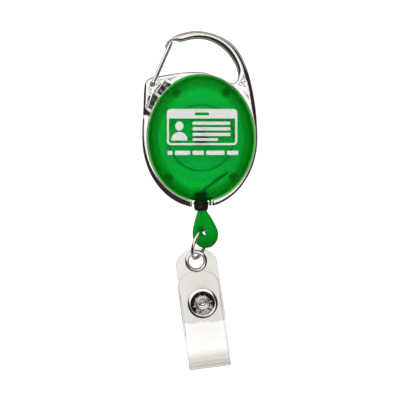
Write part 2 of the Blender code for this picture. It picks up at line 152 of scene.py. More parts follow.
def through(points, per_span):
    """A smooth Catmull-Rom line through points."""
    points = [Vector(p) for p in points]
    ends = [2 * points[0] - points[1], *points, 2 * points[-1] - points[-2]]
    line = []
    for a, b, c, d in zip(ends, ends[1:], ends[2:], ends[3:]):
        for i in range(per_span):
            t = i / per_span
            line.append(0.5 * (2 * b + (c - a) * t + (2 * a - 5 * b + 4 * c - d) * t * t
                               + (3 * b - a - 3 * c + d) * t ** 3))
    line.append(points[-1])
    return line


def bend(start, corner, end, shares):
    """Points along a bend, at shares of the way from its start to its end."""
    return [start * (1 - t) ** 2 + corner * 2 * t * (1 - t) + end * t * t for t in shares]


def fillet(profile, radius, steps=4):
    """A closed profile with each corner replaced by a small bend."""
    points = [Vector(p) for p in profile]
    line = []
    for i, b in enumerate(points):
        a, c = points[i - 1], points[(i + 1) % len(points)]
        back, forth = a - b, c - b
        start = b + back.normalized() * min(radius, back.length * 0.45)
        end = b + forth.normalized() * min(radius, forth.length * 0.45)
        line += bend(start, b, end, [j / steps for j in range(steps + 1)])
    return line


def tube(name, points, radius, sides=20, cyclic=False):
    """A round wire along points, with domed ends unless it is a closed loop."""
    line = [Vector(p) for p in points]
    count = len(line)
    rings = []
    side = None
    for i, p in enumerate(line):
        if cyclic:
            along = line[(i + 1) % count] - line[i - 1]
        else:
            along = line[min(i + 1, count - 1)] - line[max(i - 1, 0)]
        along.normalize()
        if side is None:
            side = along.orthogonal().normalized()
        side = (side - along * side.dot(along)).normalized()
        up = along.cross(side)
        rings.append((p, along, [side * cos(t) * radius + up * sin(t) * radius for t in around(sides)]))
    skins = [[p + q for q in spokes] for p, _, spokes in rings]
    if cyclic:
        return lofted(name, skins, closed=True, sharp=180)
    for end, sign in ((0, -1), (-1, 1)):
        p, along, spokes = rings[end]
        domes = [[p + along * sign * sin(t) * radius * 0.5 + q * cos(t) for q in spokes]
                 for t in (0.35, 0.7, 1.05, 1.35)]
        skins = domes[::-1] + skins if sign < 0 else skins + domes
    return lofted(name, skins, sharp=80)


def evaluated(obj):
    """The mesh of a helper object with its modifiers applied; the helper is removed."""
    depsgraph = bpy.context.evaluated_depsgraph_get()
    mesh = bpy.data.meshes.new_from_object(obj.evaluated_get(depsgraph))
    bpy.data.objects.remove(obj)
    return mesh


def added(name, data):
    """A new object in the scene."""
    obj = bpy.data.objects.new(name, data)
    bpy.context.scene.collection.objects.link(obj)
    return obj


def carved(mesh, *cutters, operation="DIFFERENCE"):
    obj = added("helper", mesh)
    tools = [added("cutter", cutter) for cutter in cutters]
    for tool in tools:
        modifier = obj.modifiers.new("cut", "BOOLEAN")
        modifier.operation = operation
        modifier.object = tool
    result = evaluated(obj)
    for tool in tools:
        bpy.data.objects.remove(tool)
    return smoothed(result)


def remeshed(mesh, voxel, smooth):
    """Evenly sized faces with soft edges, as on a moulding."""
    obj = added("helper", mesh)
    remesh = obj.modifiers.new("remesh", "REMESH")
    remesh.mode = "VOXEL"
    remesh.voxel_size = voxel * MM
    remesh.use_smooth_shade = True
    soften = obj.modifiers.new("soften", "SMOOTH")
    soften.factor = 0.5
    soften.iterations = smooth
    return evaluated(obj)


def joined(name, meshes, sharp=35):
    bm = bmesh.new()
    for mesh in meshes:
        bm.from_mesh(mesh)
    result = bpy.data.meshes.new(name)
    bm.to_mesh(result)
    bm.free()
    return smoothed(result, sharp)


def place(name, mesh, material, body, slot, *nodes, at=None):
    """Adds a finished piece that rides on a CAD body and stands for CAD nodes."""
    obj = added(name, mesh)
    mesh.materials.clear()
    mesh.materials.append(material)
    if at is not None:
        obj.matrix_world = at
    if nodes:
        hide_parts(*nodes)
    if body is not None:
        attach(obj, body)
    return obj


def ease(x, low, high):
    """0 below low, 1 above high, and a smooth step between; x is a number or an array."""
    t = np.clip((x - low) / (high - low), 0, 1)
    return t * t * (3 - 2 * t)


# --- materials ---

class Nodes:
    """Short ways to add nodes to a tree. Values are plain, or outputs of other nodes."""

    def __init__(self, tree):
        self.tree = tree

    def node(self, kind, **settings):
        node = self.tree.nodes.new(kind)
        for key, value in settings.items():
            if key in node.inputs:
                node.inputs[key].default_value = value
            else:
                setattr(node, key, value)
        return node

    def link(self, output, target):
        self.tree.links.new(output, target)

    def feed(self, socket, value):
        if isinstance(value, bpy.types.NodeSocket):
            self.link(value, socket)
        else:
            socket.default_value = value

    def computed(self, kind, operation, values):
        node = self.node(kind, operation=operation)
        for socket, value in zip(node.inputs, values):
            self.feed(socket, value)
        return node.outputs

    def math(self, operation, *values):
        return self.computed("ShaderNodeMath", operation, values)["Value"]

    def product(self, *values):
        return self.math("MULTIPLY", *values)

    def sum(self, *values):
        return self.math("ADD", *values)

    def vector(self, operation, *values):
        number = operation in ("LENGTH", "DOT_PRODUCT")
        return self.computed("ShaderNodeVectorMath", operation, values)["Value" if number else "Vector"]

    def part(self, vector, axis):
        split = self.node("ShaderNodeSeparateXYZ")
        self.link(vector, split.inputs["Vector"])
        return split.outputs[axis]

    def ramp(self, factor, low, high, start=0.3, end=0.7, kind="LINEAR"):
        ramp = self.node("ShaderNodeMapRange", interpolation_type=kind)
        for name, value in (("Value", factor), ("From Min", start), ("From Max", end),
                            ("To Min", low), ("To Max", high)):
            self.feed(ramp.inputs[name], value)
        return ramp.outputs["Result"]

    def mixed(self, factor, first, second):
        """A colour between two colours."""
        mix = self.node("ShaderNodeMix", data_type="RGBA")
        self.link(factor, mix.inputs["Factor"])
        for socket, colour in zip([s for s in mix.inputs if s.type == "RGBA"], (first, second)):
            self.feed(socket, colour if isinstance(colour, bpy.types.NodeSocket) else (*colour, 1))
        return [s for s in mix.outputs if s.type == "RGBA"][0]


class Look(Nodes):
    """A Principled material in object coordinates, with a few procedural touches."""

    def __init__(self, name, colour, roughness, **sockets):
        self.material = bpy.data.materials.new(name)
        self.material.use_nodes = True
        super().__init__(self.material.node_tree)
        self.shader = self.tree.nodes["Principled BSDF"]
        self.output = self.tree.nodes["Material Output"]
        self.shader.inputs["Base Color"].default_value = (*colour, 1)
        self.shader.inputs["Roughness"].default_value = roughness
        for socket, value in sockets.items():
            self.shader.inputs[socket.replace("_", " ")].default_value = value
        self.places = self.node("ShaderNodeTexCoord").outputs

    def texture(self, kind, scale=(1, 1, 1), **settings):
        texture = self.node(kind, **settings)
        self.link(self.vector("MULTIPLY", self.places["Object"], scale), texture.inputs["Vector"])
        return texture.outputs["Fac"]

    def noise(self, size, detail=3.0, scale=(1, 1, 1)):
        """Noise whose blots are about `size` millimetres across."""
        return self.texture("ShaderNodeTexNoise", scale, Scale=1 / (size * MM), Detail=detail)

    def vary(self, size, low, high, scale=(1, 1, 1)):
        """Roughness between two values."""
        self.link(self.ramp(self.noise(size, scale=scale), low, high), self.shader.inputs["Roughness"])

    def mottle(self, factor, first, second, start=0.3, end=0.7, edge=None, shade_at=None):
        """Base colour between two colours, and a third, painted shade, where the surface turns over an edge and
        along a given band.
        """
        colour = self.mixed(self.ramp(factor, 0, 1, start, end), first, second)
        # painted shade: the third colour goes where the surface faces sideways and along the given band
        if edge is not None:
            level = self.math("ABSOLUTE", self.part(self.places["Normal"], "Z"))
            colour = self.mixed(self.ramp(level, 0, 1, 0.5, 0.95), edge, colour)
            colour = self.mixed(self.math("SUBTRACT", 1, shade_at), edge, colour)
        self.link(colour, self.shader.inputs["Base Color"])

    def bump(self, factor, depth, strength):
        """Adds a bump `depth` millimetres deep."""
        bump = self.node("ShaderNodeBump", Strength=strength, Distance=depth * MM)
        self.link(factor, bump.inputs["Height"])
        self.link(bump.outputs["Normal"], self.shader.inputs["Normal"])

    def dye(self, absorbed, colour):
        """Absorbs light by the millimetre in the piece's volume."""
        dye = self.node("ShaderNodeVolumeAbsorption", Density=absorbed / MM)
        dye.inputs["Color"].default_value = (*colour, 1)
        self.link(dye.outputs["Volume"], self.output.inputs["Volume"])


def worked(name, colour, roughness, varied=None, mottled=None, bumped=None, **sockets):
    """A material of noise alone, each as its size, then what it reaches: two roughnesses, two
    colours, or a bump's depth, strength and the noise's detail."""
    look = Look(name, colour, roughness, **sockets)
    if varied:
        look.vary(*varied)
    if mottled:
        look.mottle(look.noise(mottled[0]), *mottled[1:])
    if bumped:
        look.bump(look.noise(bumped[0], *bumped[3:]), *bumped[1:3])
    return look.material


def chrome_casting():
    return worked("chrome_casting", (0.88, 0.87, 0.85), 0.05, (3.0, 0.03, 0.09),
                  (1.5, (0.90, 0.885, 0.87), (0.83, 0.81, 0.79)), (1.3, 0.02, 0.4, 1.0), Metallic=1.0)


def polished_wire():
    return worked("polished_wire", (0.90, 0.885, 0.87), 0.08, (1.0, 0.05, 0.12),
                  bumped=(0.3, 0.004, 0.3), Metallic=1.0)


NICKEL = (0.88, 0.865, 0.845)
# painted shade: the dark colour laid into the snap's pressed recess
RECESS_SHADE = (0.10, 0.085, 0.085)


def nickel_plate():
    return worked("nickel_plate", NICKEL, 0.1, (0.8, 0.06, 0.16), bumped=(0.6, 0.01, 0.35), Metallic=1.0)


def snap_nickel():
    """Nickel with painted shade in the pressed recess, a dark ring about the piece's own axis."""
    look = Look("snap_nickel", NICKEL, 0.1, Metallic=1.0)
    radius = look.vector("LENGTH", look.vector("MULTIPLY", look.places["Object"], (1, 1, 0)))
    recess = look.product(look.ramp(radius, 0, 1, 1.9 * MM, 2.5 * MM),
                          look.ramp(radius, 1, 0, 3.5 * MM, 3.9 * MM))
    # painted shade: the recess is darkened in blots of noise
    recess_shade = look.product(recess, look.ramp(look.noise(0.7), 0.5, 1.0))
    look.mottle(recess_shade, NICKEL, RECESS_SHADE, 0.0, 1.0)
    look.vary(0.8, 0.08, 0.2)
    look.bump(look.noise(0.5), 0.012, 0.4)
    return look.material


def translucent(name, absorbed, roughness, size, ior, milk, milk_colour):
    """Plastic with a dye that absorbs red, green and blue by the millimetre, and a milky share."""
    look = Look(name, (1, 1, 1), roughness, IOR=ior, Transmission_Weight=1.0, Specular_IOR_Level=0.03)
    look.mottle(look.noise(size), (0.93, 1.0, 0.96), (1.0, 1.0, 1.0))
    look.vary(size / 3, roughness * 0.8, roughness * 1.25)
    look.bump(look.noise(size / 1.5), 0.012, 0.2)
    look.dye(max(absorbed), [1 - a / max(absorbed) for a in absorbed])
    cloudy = look.node("ShaderNodeBsdfDiffuse")
    cloudy.inputs["Color"].default_value = (*milk_colour, 1)
    both = look.node("ShaderNodeMixShader", Fac=milk)
    look.link(look.shader.outputs["BSDF"], both.inputs[1])
    look.link(cloudy.outputs["BSDF"], both.inputs[2])
    look.link(both.outputs["Shader"], look.output.inputs["Surface"])
    return look.material


def print_ink():
    return worked("print_ink", (0.97, 0.98, 0.97), 0.45,
                  mottled=(0.5, (0.94, 0.96, 0.94), (0.99, 1.0, 0.99)), bumped=(0.12, 0.003, 0.3))


def black_plastic():
    return worked("black_plastic", (0.012, 0.008, 0.010), 0.4, (0.4, 0.32, 0.5),
                  (1.0, (0.010, 0.006, 0.008), (0.022, 0.015, 0.018)), (0.12, 0.004, 0.4),
                  Specular_IOR_Level=0.25)


def spool_plastic():
    return worked("spool_plastic", (0.80, 0.84, 0.80), 0.5, None,
                  (6.0, (0.84, 0.88, 0.84), (0.92, 0.95, 0.92)), (0.3, 0.006, 0.3), Specular_IOR_Level=0.3)


def strip_steel():
    return worked("strip_steel", (0.33, 0.35, 0.40), 0.25, (0.4, 0.18, 0.35, (1, 1, 8)),
                  (3.0, (0.28, 0.30, 0.36), (0.42, 0.43, 0.45)), Metallic=1.0)


def dark_steel():
    return worked("dark_steel", (0.06, 0.06, 0.065), 0.4, (0.8, 0.3, 0.5),
                  (0.8, (0.04, 0.04, 0.045), (0.10, 0.10, 0.11)), Metallic=0.8)


BRAID = 0.35             # width of a strand


def cord_braid():
    look = Look("cord_braid", (0.018, 0.018, 0.02), 0.75, Sheen_Weight=0.3)
    strands = look.texture("ShaderNodeTexWave", bands_direction="DIAGONAL", Scale=0.314 / (BRAID * MM),
                           Distortion=1.0)
    look.mottle(strands, (0.008, 0.008, 0.009), (0.035, 0.034, 0.036))
    look.bump(strands, 0.05, 0.8)
    return look.material


VINYL_GREY = (0.735, 0.725, 0.695)
VINYL_CLEAR = (0.995, 0.995, 0.99)
# painted shade for the vinyl where it faces sideways, over its edges and round the fold
VINYL_EDGE_SHADE = (0.62, 0.60, 0.56)
VINYL_HAZE = 0.08        # what a millimetre of the vinyl absorbs, which darkens its edges
GREY_TO = (18.7, 19.5)   # the grey part ends here, along the strap from the eyelet


def clear_vinyl():
    """Clear vinyl, greyer from its round end down to GREY_TO along the strap, with painted shade over its edges
    and round the fold.
    """
    look = Look("clear_vinyl", (0.98, 0.98, 0.97), 0.05, IOR=1.4, Transmission_Weight=1.0)
    down = look.product(look.part(look.places["Object"], "Y"), -1)
    wavy = look.sum(down, look.ramp(look.noise(3.0), -0.6 * MM, 0.6 * MM))
    # painted shade in a band round the fold
    fold_shade = look.product(look.ramp(down, 0, 0.8, 28.0 * MM, 30.6 * MM),
                        look.ramp(down, 1, 0, 31.0 * MM, 31.5 * MM))
    look.mottle(wavy, VINYL_GREY, VINYL_CLEAR, GREY_TO[0] * MM, GREY_TO[1] * MM, VINYL_EDGE_SHADE, fold_shade)
    look.vary(2.0, 0.04, 0.12)
    look.bump(look.noise(3.5), 0.02, 0.15)
    look.dye(VINYL_HAZE, (0.3, 0.24, 0.15))
    return look.material


def table_white():
    """A table that the camera sees as pure white, and that clear pieces show a little darker."""
    look = Look("table_white", TABLE_COLOUR, 0.8, Specular_IOR_Level=0.0)
    look.mottle(look.noise(40.0), TABLE_COLOUR, [0.98 * c for c in TABLE_COLOUR])
    look.shader.inputs["Emission Color"].default_value = (1, 1, 1, 1)
    path = look.node("ShaderNodeLightPath").outputs
    through_pieces = look.product(path["Is Transmission Ray"], TABLE_THROUGH)
    look.link(look.sum(path["Is Camera Ray"], through_pieces), look.shader.inputs["Emission Strength"])
    return look.material


# --- carabiner frame ---

OUTLINE_STEP = 0.26
ROWS = (0.03, 0.09, 0.18, 0.3, 0.45, 0.62, 0.82, 1.05)   # rows of points this far inside the outline
GRID_STEP = 0.2
WINDOW_GROWTH = 0.2      # the frame's window is this much larger than the case
LOOP_CENTRE = (0.0, 24.5)
LOOP_FROM = 16.5         # the loop's edges lie beyond this, towards the hook
WINDOW_ROUND, LOOP_ROUND, OUTSIDE_ROUND = 0.22, 0.9, 0.12
FLANK_SHARE = 0.64       # the ring's outer flank takes this share of its width, within FLANK_WIDTH,
FLANK_WIDTH = (0.5, 1.5)
FLANK_SLOPE = 0.5        # and steepens towards its edge
SLOPE = 0.2              # the ring's fall beside the case
ARM_ROUND = 1.42
ARM_CREST = 0.4          # the arm's crest, as a share of its width from outside
ARM_FROM = (17.0, 21.5)  # the ring turns into the arm between these heights,
ARM_REACH = (18.0, 20.5)     # and between these distances from the middle
WEB_FROM = (1.1, 2.1)    # the two webs beside the case begin this far from every edge,
WEB_SINK = 0.08          # lie this much lower, and their cast surface waves by WEB_WAVE
WEB_WAVE = 0.14
PATCH_WIDTH = 2.7        # the left web has ripples beside the case, each falling along the heading
PATCH_RIPPLE = 5.4
PATCH_FALL = 1.03
PATCH_HEADING = radians(231)
PATCH_ENDS = (-8.0, -6.5, 5.2, 6.4)      # along the heading: where the ripples begin and end
FOOT_HOLE = (0.5, 0.85)  # the wire's foot stands in a dimple between these radii
LEAST_HALF = 0.2


def boundary(polygons):
    """The directed edges that no two polygons share."""
    edges = set()
    for polygon in polygons:
        for a, b in zip(polygon, polygon[1:] + polygon[:1]):
            if (b, a) in edges:
                edges.remove((b, a))
            else:
                edges.add((a, b))
    return edges


def cad_outline():
    """The frame's outline, read from the top face of its CAD solid as one closed line."""
    obj = frame["nodes"]["carabiner_frame"]
    level = FRAME_HIGH.z * MM
    top = []
    for face in obj.data.polygons:
        corners = [obj.data.vertices[i].co for i in face.vertices]
        if all(abs(c.z - level) < 1e-5 for c in corners):
            top.append([(round(c.x / MM, 3), round(c.y / MM, 3)) for c in corners])
    follow = dict(boundary(top))
    loops = []
    while follow:
        start = min(follow)
        loop, point = [start], follow.pop(start)
        while point != start:
            loop.append(point)
            point = follow.pop(point)
        loops.append(loop)
    return np.array(max(loops, key=len), float)


def resampled(loop, step):
    """A closed line with even steps, its facets smoothed away."""
    ends = np.vstack([loop, loop[:1]])
    lengths = np.r_[0, np.cumsum(np.hypot(*np.diff(ends, axis=0).T))]
    at = np.linspace(0, lengths[-1], int(lengths[-1] / step), endpoint=False)
    line = np.column_stack([np.interp(at, lengths, ends[:, i]) for i in (0, 1)])
    for _ in range(3):
        line = 0.25 * np.roll(line, 1, 0) + 0.5 * line + 0.25 * np.roll(line, -1, 0)
    return line


def inside(line, points):
    x, y = points[:, :1], points[:, 1:]
    x0, y0 = line.T
    x1, y1 = np.roll(line, -1, 0).T
    crosses = (y0 > y) != (y1 > y)
    with np.errstate(divide="ignore", invalid="ignore"):
        left = x < x0 + (y - y0) * (x1 - x0) / (y1 - y0)
    return (crosses & left).sum(1) % 2 == 1


def rounding_drop(depth, radius):
    """How far a rounded edge lies below the surface, `depth` inside the edge."""
    rest = radius - np.minimum(depth, radius)
    return radius - np.sqrt(np.maximum(0, radius ** 2 - rest ** 2))


class Casting:
    """The frame's outline as edges of three kinds, and the height of its surface."""

    def __init__(self):
        self.line = resampled(cad_outline(), OUTLINE_STEP)
        tangent = np.roll(self.line, -1, 0) - np.roll(self.line, 1, 0)
        inward = np.column_stack([-tangent[:, 1], tangent[:, 0]])
        inward /= np.hypot(*inward.T)[:, None]
        if inside(self.line, self.line + inward * 0.05).mean() < 0.5:
            inward = -inward
        self.inward = inward
        self.ends = np.roll(self.line, -1, 0)
        middle = (self.line + self.ends) / 2
        a, b = CASE_A + WINDOW_GROWTH, CASE_B + WINDOW_GROWTH
        self.window = np.abs((middle[:, 0] / a) ** 2 + (middle[:, 1] / b) ** 2 - 1) < 0.02
        to_loop = np.array(LOOP_CENTRE) - middle
        faces_loop = (to_loop * inward).sum(1) < 0
        self.loop = faces_loop & (middle[:, 1] > LOOP_FROM) & ~self.window
        self.outside = ~self.loop & ~self.window

    def distance(self, points, kind=None):
        """Shortest distance to the edges of one kind, or to the whole outline."""
        pick = slice(None) if kind is None else kind
        starts, along = self.line[pick], (self.ends - self.line)[pick]
        lengths = (along ** 2).sum(1)
        best = []
        for first in range(0, len(points), 2000):
            some = points[first:first + 2000, None, :] - starts[None]
            t = np.clip((some * along).sum(2) / lengths, 0, 1)
            best.append(np.sqrt(((some - t[..., None] * along) ** 2).sum(2).min(1)))
        return np.concatenate(best)

    def height(self, points):
        """Half the casting's thickness."""
        x, y = points.T
        from_window = self.distance(points, self.window)
        from_loop = self.distance(points, self.loop)
        from_outside = self.distance(points, self.outside)
        half = FRAME_HIGH.z - MID
        ring = rounding_drop(from_window, WINDOW_ROUND) + rounding_drop(from_loop, LOOP_ROUND)
        flank = np.clip(FLANK_SHARE * (from_window + from_outside), *FLANK_WIDTH)
        ring += FLANK_SLOPE * flank * (1 - np.minimum(from_outside / flank, 1)) ** 2
        ring += rounding_drop(from_outside, OUTSIDE_ROUND)
        share = from_outside / (from_outside + from_loop + 1e-9)
        across = np.where(share < ARM_CREST, 1 - share / ARM_CREST, (share - ARM_CREST) / (1 - ARM_CREST))
        inner_side = ARM_ROUND * (1 - np.sqrt(np.maximum(0, 1 - across ** 2)))
        outer_side = (ARM_ROUND - 0.4 * ease(x, 6.0, 13.0)) * across ** 1.3
        arm = np.where(share < ARM_CREST, outer_side, inner_side)
        is_arm = ease(y, *ARM_FROM) * ease(np.hypot(x, 0.85 * y), *ARM_REACH)
        edge = np.minimum(np.minimum(from_window, from_loop), from_outside)
        pivot = np.hypot(x - PIVOT.x, y - PIVOT.y)
        along = x * cos(PATCH_HEADING) + y * sin(PATCH_HEADING)
        patch = ease(along, *PATCH_ENDS[:2]) * (1 - ease(along, *PATCH_ENDS[2:])) * (x < 0)
        ripple = np.mod((along + 7.4) / PATCH_RIPPLE, 1.0)
        reach = PATCH_WIDTH - 0.6 * ripple
        near = ease(from_window, 0.0, 0.1) * (1 - ease(from_window, reach - 0.3, reach + 0.3))
        near *= patch * ease(pivot, 1.1, 1.6)
        ring += SLOPE * np.minimum(from_window, 1.0) * (1 - near)
        drop = ring * (1 - is_arm) + arm * is_arm
        web = ease(edge, *WEB_FROM) * (1 - is_arm) * ease(pivot, 0.9, 1.8) * ease(from_loop, 0.8, 2.2)
        wave = np.array([noise.noise((px / 1.9, py / 1.9, 3.1)) + 0.4 * noise.noise((px / 0.8, py / 0.8, 7.7))
                         for px, py in points])
        drop += web * (WEB_SINK + WEB_WAVE * wave) * (1 - near)
        drop += near * (0.15 + PATCH_FALL * np.minimum(ripple, (1 - ripple) * 24) + 0.02 * wave)
        drop += 0.8 * (1 - ease(pivot, *FOOT_HOLE))
        return np.maximum(half - drop, LEAST_HALF)


def frame_casting(material):
    casting = Casting()
    line = casting.line
    rows = []
    for offset in ROWS:
        row = line + casting.inward * offset
        rows.append(row[casting.distance(row) > offset * 0.985 - 0.004])
    low, high = line.min(0), line.max(0)
    xs, ys = np.meshgrid(np.arange(low[0], high[0], GRID_STEP), np.arange(low[1], high[1], GRID_STEP))
    grid = np.column_stack([xs.ravel(), ys.ravel()])
    grid = grid[inside(line, grid)]
    grid = grid[casting.distance(grid) > ROWS[-1] + GRID_STEP / 2]
    points = np.vstack([line, *rows, grid])
    found = delaunay_2d_cdt([Vector(p) for p in points], [], [list(range(len(line)))], 1, 1e-5)
    flat = np.array([v[:] for v in found[0]])
    triangles = [tuple(face) for face in found[2]]
    height = casting.height(flat)
    total = len(flat)
    vertices = [(x, y, MID + side * h) for side in (1, -1) for (x, y), h in zip(flat, height)]
    faces = triangles + [tuple(i + total for i in face[::-1]) for face in triangles]
    faces += [(b, a, a + total, b + total) for a, b in sorted(boundary(triangles))]
    mesh = joined("frame_casting", [mesh_from("face", vertices, faces, sharp=60), clamped_ledge()], 60)
    place("frame_casting", mesh, material, "case", "chrome_casting", "carabiner_frame")


LEDGE_HALF = 0.6
LEDGE_GROWTHS = (0.45, -0.8)
OPENING_HALF = 3.6       # half the width of the frame's opening at the bottom


def clamped_ledge():
    """The thin ledge round the window that the two shells clamp."""
    rings = []
    steps = 120
    gap = OPENING_HALF / CASE_A
    for i in range(steps + 1):
        t = -pi / 2 + gap + (2 * pi - 2 * gap) * i / steps
        out, back = [((CASE_A + g) * cos(t), (CASE_B + g) * sin(t)) for g in LEDGE_GROWTHS]
        low, high = MID - LEDGE_HALF, MID + LEDGE_HALF
        rings.append([(*out, low), (*out, high), (*back, high), (*back, low)])
    return lofted("ledge", rings)


WIRE_R = 0.52
WIRE_BEND = 0.8


def gate(material):
    """The wire gate: two legs, a crossbar behind the nose, and feet bent into the pivot's holes."""
    high = node_box("gate_wire")[1]
    leg = high.z - MID - WIRE_R
    foot = FRAME_HIGH.z - MID - 0.75
    points = []
    for side in (1, -1):
        ends = [(PIVOT.x, PIVOT.y, MID + side * foot), (PIVOT.x, PIVOT.y, MID + side * leg),
                (high.x - WIRE_R, high.y - WIRE_R, MID + side * leg)]
        points += [Vector(p) for p in ends[::side]]
    line = [points[0]]
    for a, b, c in zip(points, points[1:], points[2:]):
        start = b + (a - b).normalized() * WIRE_BEND
        end = b + (c - b).normalized() * WIRE_BEND
        line += bend(start, b, end, (0, 0.12, 0.25, 0.38, 0.5, 0.62, 0.75, 0.88, 1))
    line.append(points[-1])
    place("gate", tube("gate", line, WIRE_R), material, "gate", "polished_wire", "gate_wire")


# --- case ---

WALL = 1.2
DOME = 0.14              # how much the face's middle stands above its edge
EDGE_DEPTH = 6.0         # width of the rounded edge
EDGE_DROP = 3.4
PRINT_THICK = 0.05
PRINT_SINK = 0.02        # the ink stands in the face by this much
PART_LINE = MID - 0.9    # where the rear shell ends
REAR_ROUND = 3.4
BOSSES = [(7.6, 13.9), (-7.6, 13.9), (9.8, -12.0), (-9.8, -12.0)]
BOSS_R = 1.3             # a post's stub; its pin, and the socket that the pin snaps into
PIN_R = 0.5
SOCKET_R = 0.6
SOCKET_WALL = 0.4


def oval(growth, z):
    return ring(CASE_A + growth, CASE_B + growth, z, 112)


def edge_curve(growth):
    """0 at the case's side, 1 where the face begins: a superellipse."""
    t = min(1.0, max(0.0, 1 + growth / EDGE_DEPTH))
    return (1 - t ** 2.6) ** (1 / 2.6)


def face_height(x, y):
    """Height of the front face, inside its rounded edge."""
    ratio = (x / CASE_A) ** 2 + (y / CASE_B) ** 2
    return TOP - PRINT_THICK - PRINT_SINK - DOME * ratio


def shell_height(growth, sink=0.0):
    shrink = (1 + growth / CASE_A) * (1 + growth / CASE_B)
    side = TOP - EDGE_DROP
    crown = TOP - PRINT_THICK - PRINT_SINK - DOME * shrink
    return side + (crown - side) * edge_curve(growth) - sink


def shell_rings(sink):
    """(growth, height) from the side up over the rounded edge to the middle of the face."""
    edge = [-EDGE_DEPTH * (1 - cos(pi / 2 * i / 16)) for i in range(17)]
    face = [-EDGE_DEPTH - step for step in (1.8, 4.0, 6.5, 8.7, 10.0)]
    return [(g - sink * (g > -EDGE_DEPTH), shell_height(g, sink)) for g in edge + face]


def bowl(name, outer, inner, rim):
    """A shell's skin from inside, over the rim, to outside, as pairs of growth and height."""
    return lofted(name, [oval(g, z) for g, z in inner[::-1] + [(-0.12, rim)] + outer], sharp=50)


def posts(name, profile):
    """A turned piece at each corner post; the profile may depend on where it stands."""
    return [turned(name, profile(x, y), steps=32, at=moved(x, y)) for x, y in BOSSES]


def front_shell(material):
    rim = CASE_LOW.z
    outer = [(0, rim + 0.12), (0, (rim + TOP - EDGE_DROP) / 2)] + shell_rings(0.0)
    mesh = bowl("front_shell", outer, [(-WALL, rim)] + shell_rings(WALL), rim)
    pins = posts("post", lambda x, y: [(PIN_R * 0.7, 3.0), (PIN_R, 3.4), (PIN_R, 8.2), (BOSS_R, 8.6),
                                       (BOSS_R, post_top(x, y))])
    mesh = carved(carved(mesh, *pins, operation="UNION"), guide_passage())
    place("front_shell", mesh, material, "case", "green_plastic", "front_cover")


def rear_skin(side, width, floor, flat):
    turns = [pi / 2 * i / 12 for i in range(1, 13)]
    bend = [(side - width * (1 - cos(t)), REAR_ROUND - (REAR_ROUND - floor) * sin(t)) for t in turns]
    return [(side, REAR_ROUND), *bend, *((g, floor) for g in flat)]


def rear_shell(material):
    outer = [(0, PART_LINE - 0.12)] + rear_skin(0, REAR_ROUND, 0.0, (-6, -10, -14))
    inner = [(-WALL, PART_LINE)] + rear_skin(-WALL, 2.6, WALL, (-7, -10, -14))
    mesh = bowl("rear_shell", outer, inner, PART_LINE)
    wall = SOCKET_R + SOCKET_WALL
    mesh = carved(mesh, *posts("post", lambda x, y: [(wall, 0.8), (wall, PART_LINE)]), lug(), operation="UNION")
    sockets = posts("socket", lambda x, y: [(SOCKET_R, 1.6), (SOCKET_R, MID)])
    mesh = carved(mesh, guide_passage(), *sockets)
    place("rear_shell", mesh, material, "case", "green_plastic", "rear_cover")


def post_top(x, y):
    """Height at which a post is well inside the front shell's wall."""
    growth = (sqrt((x / CASE_A) ** 2 + (y / CASE_B) ** 2) - 1) * (CASE_A + CASE_B) / 2
    return shell_height(growth, WALL * 0.6)


def lug():
    """The small lug beside the cord guide."""
    corners = rounded_box((2.5, -20.7), (3.2, -18.3), 0.15, 3)
    return lofted("lug", [[(x, y, z) for x, y in corners] for z in (2.4, PART_LINE)])


DOWN_Y = Matrix.Rotation(pi / 2, 4, "X")     # turns a piece's axis from Z to -Y


def guide_passage():
    return turned("passage", [(2.25, 14.0), (2.25, 24.0)], steps=48, at=moved(0, 0, MID) @ DOWN_Y)


# --- print ---

def rounded_box(low, high, radius, steps=8):
    (x0, y0), (x1, y1) = low, high
    outline = []
    for cx, cy, start in ((x1 - radius, y1 - radius, 0), (x0 + radius, y1 - radius, 1),
                          (x0 + radius, y0 + radius, 2), (x1 - radius, y0 + radius, 3)):
        for i in range(steps + 1):
            t = pi / 2 * (start + i / steps)
            outline.append((cx + radius * cos(t), cy + radius * sin(t)))
    return outline


def divided(outline, step=None):
    """An outline with more points: six to an edge, or one for each `step`."""
    line = []
    for (ax, ay), (bx, by) in zip(outline, outline[1:] + outline[:1]):
        pieces = 6 if step is None else max(1, int(hypot(bx - ax, by - ay) / step))
        line += [(ax + (bx - ax) * i / pieces, ay + (by - ay) * i / pieces) for i in range(pieces)]
    return line


def lifted(outline, lift):
    """An outline on the face, raised by a share of the ink's thickness."""
    return [(x, y, face_height(x, y) - PRINT_SINK + lift * PRINT_THICK) for x, y in outline]


def ink_patch(outline):
    """A filled shape of ink that follows the face."""
    dense = divided(outline, 0.8)
    cx = sum(x for x, _ in dense) / len(dense)
    cy = sum(y for _, y in dense) / len(dense)
    rings = [lifted([(cx + (x - cx) * share, cy + (y - cy) * share) for x, y in dense], lift)
             for share, lift in ((0.02, 0.0), (0.5, 0.0), (1.0, 0.0), (1.0, 1.0), (0.985, 1.35), (0.5, 1.4),
                                 (0.02, 1.4))]
    return lofted("ink", rings, sharp=40)


def ink_band(outer, inner):
    """A closed band of ink between two outlines with equally many points."""
    outer, inner = divided(outer), divided(inner)
    rings = [lifted(outer, 0.0), lifted(outer, 1.4), lifted(inner, 1.4), lifted(inner, 0.0)]
    return lofted("ink", rings, closed=True, sharp=40)


def bar(x0, y0, x1, y1):
    return ink_patch(rounded_box((x0, y0), (x1, y1), 0.3))


